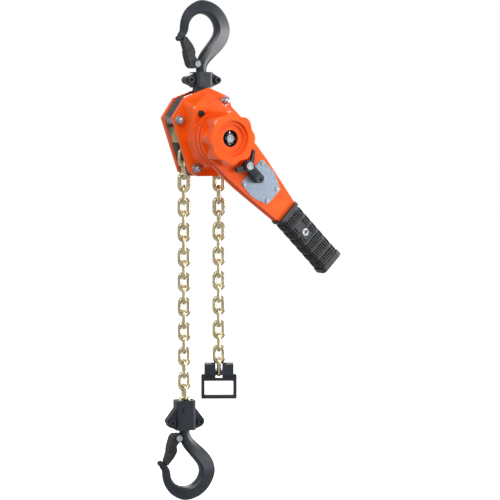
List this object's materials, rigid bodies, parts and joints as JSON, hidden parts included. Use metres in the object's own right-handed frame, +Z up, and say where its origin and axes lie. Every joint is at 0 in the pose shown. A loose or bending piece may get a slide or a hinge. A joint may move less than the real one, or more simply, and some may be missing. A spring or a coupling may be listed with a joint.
{
  "type": "lever chain hoist",
  "caption": "Hand-operated lever chain hoist: a housing with a ratchet lever and handwheel raises a bottom hook on a load chain below a top hook.",
  "frame": {"origin": "the top hook's bearing point, the highest point inside its bowl", "axes": "+Z up along the hook shanks as it hangs, +X to the right seen from the front, -Y towards the viewer, out of the lever and handwheel side"},
  "size_m": [0.2669, 0.138, 0.7247],
  "materials": {
    "forged_black": "black painted forging, satin",
    "latch_black": "rough black cast latch",
    "zinc": "zinc plated steel",
    "yellow_zinc": "yellow zinc plated alloy chain",
    "plate_zinc": "yellow zinc plated plate",
    "orange_paint": "gloss orange enamel",
    "dark_steel": "machined dark steel",
    "friction": "brake lining",
    "grip_rubber": "moulded black grip",
    "plate": "brushed data plate, no text",
    "slate_plate": "dark grey plated plate",
    "plug": "black plug"
  },
  "bodies": {
    "top_hook": {"top_hook": "forged_black", "top_latch_rivet": "zinc", "top_latch_spring": "zinc"},
    "top_latch": {"top_hook_latch": "latch_black"},
    "top_yoke": {"top_yoke_front": "forged_black", "top_yoke_rear": "forged_black", "top_yoke_bolts": "forged_black", "suspension_pin": "zinc"},
    "frame": {"front_side_plate": "plate_zinc", "rear_side_plate": "slate_plate", "stay_bolts": "zinc", "stay_spacers": "zinc", "cover_nuts": "zinc", "brake_cover": "orange_paint", "cover_plug": "plug", "gear_case": "orange_paint", "gear_plate": "dark_steel", "sheave_bearings": "zinc", "pawl_pins": "zinc", "pawl_springs": "zinc", "chain_guides": "plate_zinc", "chain_stripper": "zinc", "chain_over_sheave": "yellow_zinc", "ratchet_disc": "zinc", "friction_discs": "friction"},
    "sheave": {"load_sheave": "dark_steel", "load_gear": "dark_steel"},
    "drive": {"drive_shaft": "zinc", "brake_hub": "dark_steel", "change_gear": "dark_steel", "castle_nut": "dark_steel", "cotter_pin": "zinc"},
    "handwheel": {"handwheel": "orange_paint", "free_chain_spring": "zinc"},
    "upper_gear": {"upper_gear": "dark_steel"},
    "lower_gear": {"lower_gear": "dark_steel"},
    "upper_pawl": {"upper_pawl": "dark_steel"},
    "lower_pawl": {"lower_pawl": "dark_steel"},
    "lever": {"lever_rear_shell": "orange_paint", "lever_front_shell": "orange_paint", "lever_rivets": "zinc", "grip": "grip_rubber", "grip_screw": "zinc", "data_plate": "plate", "plate_rivets": "zinc", "changeover_pin": "zinc", "changeover_detent": "zinc"},
    "changeover": {"changeover_lever": "forged_black"},
    "load_chain": {"load_chain": "yellow_zinc"},
    "bottom_yoke": {"bottom_yoke_front": "forged_black", "bottom_yoke_rear": "forged_black", "bottom_yoke_bolts": "forged_black", "chain_pin": "forged_black"},
    "bottom_hook": {"bottom_hook": "forged_black", "bottom_latch_rivet": "zinc", "bottom_latch_spring": "zinc"},
    "bottom_latch": {"bottom_hook_latch": "latch_black"},
    "slack_chain": {"slack_chain": "yellow_zinc"},
    "chain_stop": {"chain_stop": "forged_black", "chain_stop_pin": "zinc"}
  },
  "joints": [
    {"name": "top_latch_hinge", "type": "hinge", "parent": "top_hook", "child": "top_latch", "pos_m": [-0.0105, 0, -0.072], "axis": [0, 1, 0], "range_deg": [0, 30], "stiffness_Nm_per_rad": 0.2, "springref_deg": -20.05},
    {"name": "top_swivel", "type": "hinge", "parent": "top_hook", "child": "top_yoke", "pos_m": [0, 0, -0.0885], "axis": [0, 0, 1], "continuous": true},
    {"name": "suspension_hinge", "type": "hinge", "parent": "top_yoke", "child": "frame", "pos_m": [0, 0, -0.121], "axis": [0, -1, 0], "range_deg": [-20, 20]},
    {"name": "sheave_turn", "type": "hinge", "parent": "frame", "child": "sheave", "pos_m": [0, 0, -0.179], "axis": [0, -1, 0], "range_deg": [-72.3, 72.3], "deforming": ["chain_over_sheave"]},
    {"name": "shaft_turn", "type": "hinge", "parent": "frame", "child": "drive", "pos_m": [0, 0, -0.179], "axis": [0, -1, 0], "range_deg": [-587, 587]},
    {"name": "upper_gear_turn", "type": "hinge", "parent": "frame", "child": "upper_gear", "pos_m": [0, 0, -0.154], "axis": [0, -1, 0], "range_deg": [-186, 186]},
    {"name": "lower_gear_turn", "type": "hinge", "parent": "frame", "child": "lower_gear", "pos_m": [0, 0, -0.204], "axis": [0, -1, 0], "range_deg": [-186, 186]},
    {"name": "load_chain_run", "type": "slide", "parent": "frame", "child": "load_chain", "axis": [0, 0, 1], "range_m": [-0.036, 0.036]},
    {"name": "slack_chain_run", "type": "slide", "parent": "frame", "child": "slack_chain", "axis": [0, 0, 1], "range_m": [-0.0361, 0.0361]},
    {"name": "lever_swing", "type": "hinge", "parent": "frame", "child": "lever", "pos_m": [0, 0, -0.179], "axis": [0, -1, 0], "continuous": true},
    {"name": "changeover_turn", "type": "hinge", "parent": "lever", "child": "changeover", "pos_m": [0.03889, 0, -0.21789], "axis": [0, -1, 0], "range_deg": [-20, 20]},
    {"name": "handwheel_pull", "type": "slide", "parent": "drive", "child": "handwheel", "axis": [0, -1, 0], "range_m": [0, 0.0045], "stiffness_N_per_m": 600, "springref_m": -0.01},
    {"name": "upper_pawl_lift", "type": "hinge", "parent": "frame", "child": "upper_pawl", "pos_m": [-0.027, 0, -0.158], "axis": [0, -1, 0], "range_deg": [0, 6], "stiffness_Nm_per_rad": 0.004, "springref_deg": -22.92},
    {"name": "lower_pawl_lift", "type": "hinge", "parent": "frame", "child": "lower_pawl", "pos_m": [0.027, 0, -0.2], "axis": [0, -1, 0], "range_deg": [0, 6], "stiffness_Nm_per_rad": 0.004, "springref_deg": -22.92},
    {"name": "chain_pin_hinge", "type": "hinge", "parent": "load_chain", "child": "bottom_yoke", "pos_m": [-0.02852, 0, -0.5716], "axis": [-0.1736, -0.9848, 0], "range_deg": [-4, 4]},
    {"name": "bottom_swivel", "type": "hinge", "parent": "bottom_yoke", "child": "bottom_hook", "pos_m": [-0.02852, 0, -0.5956], "axis": [0, 0, 1], "continuous": true},
    {"name": "bottom_latch_hinge", "type": "hinge", "parent": "bottom_hook", "child": "bottom_latch", "pos_m": [-0.03887, 0.00182, -0.6121], "axis": [-0.1736, -0.9848, 0], "range_deg": [0, 30], "stiffness_Nm_per_rad": 0.2, "springref_deg": -20.05},
    {"name": "chain_stop_hinge", "type": "hinge", "parent": "slack_chain", "child": "chain_stop", "pos_m": [0.02852, 0, -0.5176], "axis": [0.8829, -0.4695, 0], "range_deg": [-20, 20]}
  ],
  "couplings": [
    {"joint": "sheave_turn", "follows": "load_chain_run", "rad_per_m": -34.907},
    {"joint": "shaft_turn", "follows": "load_chain_run", "rad_per_m": -284.24},
    {"joint": "upper_gear_turn", "follows": "load_chain_run", "rad_per_m": 89.76},
    {"joint": "lower_gear_turn", "follows": "load_chain_run", "rad_per_m": 89.76},
    {"joint": "slack_chain_run", "follows": "load_chain_run", "ratio": -1}
  ]
}
